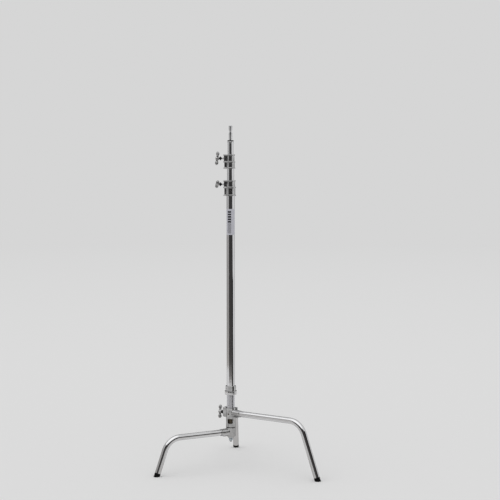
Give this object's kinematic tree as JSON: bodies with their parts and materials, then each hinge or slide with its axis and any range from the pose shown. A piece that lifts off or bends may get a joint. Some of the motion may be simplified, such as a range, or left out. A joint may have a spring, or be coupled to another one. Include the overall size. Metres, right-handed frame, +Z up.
{
  "type": "c stand",
  "caption": "Telescoping chrome light stand: nesting bent legs that swing on a spindle, a lift-off column, sliding risers locked by winged screws, and a stud on top for a lamp.",
  "frame": {"origin": "on the floor, under the axis of the column and spindle", "axes": "+Z up along the column to the spigot, +X to the right seen from the front, +Y away from the front; the clamp screws of both collars point along -X"},
  "size_m": [0.6997, 0.6782, 1.477],
  "materials": {
    "tube_chrome": "polished chrome plate on steel tube",
    "cast_chrome": "satin plated casting",
    "socket_satin": "satin plated tube",
    "handle_chrome": "chrome plated casting",
    "turned_steel": "turned",
    "screw_steel": "bright plated",
    "zinc_steel": "blue zinc plate",
    "spring_steel": "oiled dark spring wire",
    "foot_rubber": "matte black",
    "nylon": "natural",
    "black_plastic": "matte black",
    "shoe_brass": "turned",
    "label_film": "white film"
  },
  "bodies": {
    "base": {"spindle": "turned_steel", "column_socket_tube": "socket_satin", "socket_pin": "turned_steel", "low_leg_casting": "cast_chrome", "low_leg_tube": "tube_chrome", "low_leg_foot": "foot_rubber", "low_leg_pins": "turned_steel", "base_washer": "zinc_steel", "base_nut": "zinc_steel", "leg_stop_pins": "turned_steel", "leg_washers": "black_plastic"},
    "mid_leg": {"mid_leg_casting": "cast_chrome", "mid_leg_tube": "tube_chrome", "mid_leg_foot": "foot_rubber", "mid_leg_pins": "turned_steel", "lock_spring": "spring_steel"},
    "top_leg": {"top_leg_casting": "cast_chrome", "top_leg_tube": "tube_chrome", "top_leg_foot": "foot_rubber", "top_leg_pins": "turned_steel", "top_leg_set_screw": "spring_steel"},
    "base_shoe": {"base_clamp_shoe": "shoe_brass"},
    "base_tee": {"base_handle_screw": "screw_steel", "base_handle": "handle_chrome", "base_handle_pin": "turned_steel"},
    "coupling_ring": {"coupling_ring": "screw_steel"},
    "column": {"column_ferrule": "cast_chrome", "column_plug": "turned_steel", "column_tube": "tube_chrome", "column_rivets": "turned_steel", "column_collar": "cast_chrome", "column_collar_bush": "nylon", "column_collar_rivets": "turned_steel", "column_label": "label_film"},
    "column_shoe": {"column_clamp_shoe": "shoe_brass"},
    "column_tee": {"column_handle_screw": "screw_steel", "column_handle": "handle_chrome", "column_handle_pin": "turned_steel"},
    "riser_1_guide": {"riser_1_guide_bush": "nylon"},
    "riser_1": {"riser_1_end_plug": "turned_steel", "riser_1_tube": "tube_chrome", "riser_collar": "cast_chrome", "riser_collar_bush": "nylon", "riser_collar_rivets": "turned_steel"},
    "riser_shoe": {"riser_clamp_shoe": "shoe_brass"},
    "riser_tee": {"riser_handle_screw": "screw_steel", "riser_handle": "handle_chrome", "riser_handle_pin": "turned_steel"},
    "riser_2_guide": {"riser_2_guide_bush": "nylon"},
    "riser_2": {"riser_2_end_plug": "turned_steel", "riser_2_tube": "tube_chrome", "top_ring": "screw_steel", "stop_washer": "black_plastic", "spigot": "screw_steel", "spigot_pin": "turned_steel"}
  },
  "joints": [
    {"name": "mid_leg_swing", "type": "hinge", "parent": "base", "child": "mid_leg", "pos_m": [0, 0, 0.197], "axis": [0, 0, 1], "range_deg": [0, 122.1]},
    {"name": "top_leg_swing", "type": "hinge", "parent": "base", "child": "top_leg", "pos_m": [0, 0, 0.238], "axis": [0, 0, 1], "range_deg": [-115.7, 6.4]},
    {"name": "base_shoe_slide", "type": "slide", "parent": "top_leg", "child": "base_shoe", "axis": [-0.8211, 0.5707, 0], "range_m": [0, 0.0016]},
    {"name": "base_handle_turn", "type": "hinge", "parent": "base_shoe", "child": "base_tee", "pos_m": [0, 0, 0.238], "axis": [-0.8211, 0.5707, 0], "range_deg": [0, 450]},
    {"name": "coupling_ring_turn", "type": "hinge", "parent": "base", "child": "coupling_ring", "pos_m": [0, 0, 0.3255], "axis": [0, 0, 1], "range_deg": [0, 180]},
    {"name": "column_lift", "type": "slide", "parent": "base", "child": "column", "axis": [0, 0, 1], "range_m": [0, 0.08]},
    {"name": "column_shoe_slide", "type": "slide", "parent": "column", "child": "column_shoe", "axis": [-1, 0, 0], "range_m": [0, 0.0016]},
    {"name": "column_handle_turn", "type": "hinge", "parent": "column_shoe", "child": "column_tee", "pos_m": [0, 0, 1.2265], "axis": [-1, 0, 0], "range_deg": [0, 450]},
    {"name": "riser_1_slide", "type": "slide", "parent": "column", "child": "riser_1_guide", "axis": [0, 0, 1], "range_m": [-0.0498, 0.67]},
    {"name": "riser_1_turn", "type": "hinge", "parent": "riser_1_guide", "child": "riser_1", "pos_m": [0, 0, 0.419], "axis": [0, 0, 1], "continuous": true},
    {"name": "riser_shoe_slide", "type": "slide", "parent": "riser_1", "child": "riser_shoe", "axis": [-1, 0, 0], "range_m": [0, 0.0016]},
    {"name": "riser_handle_turn", "type": "hinge", "parent": "riser_shoe", "child": "riser_tee", "pos_m": [0, 0, 1.337], "axis": [-1, 0, 0], "range_deg": [0, 450]},
    {"name": "riser_2_slide", "type": "slide", "parent": "riser_1", "child": "riser_2_guide", "axis": [0, 0, 1], "range_m": [-0.0483, 0.69]},
    {"name": "riser_2_turn", "type": "hinge", "parent": "riser_2_guide", "child": "riser_2", "pos_m": [0, 0, 0.499], "axis": [0, 0, 1], "continuous": true}
  ],
  "couplings": [
    {"joint": "base_shoe_slide", "follows": "base_handle_turn", "m_per_rad": 0.00019894},
    {"joint": "column_shoe_slide", "follows": "column_handle_turn", "m_per_rad": 0.00019894},
    {"joint": "riser_shoe_slide", "follows": "riser_handle_turn", "m_per_rad": 0.00019894}
  ]
}
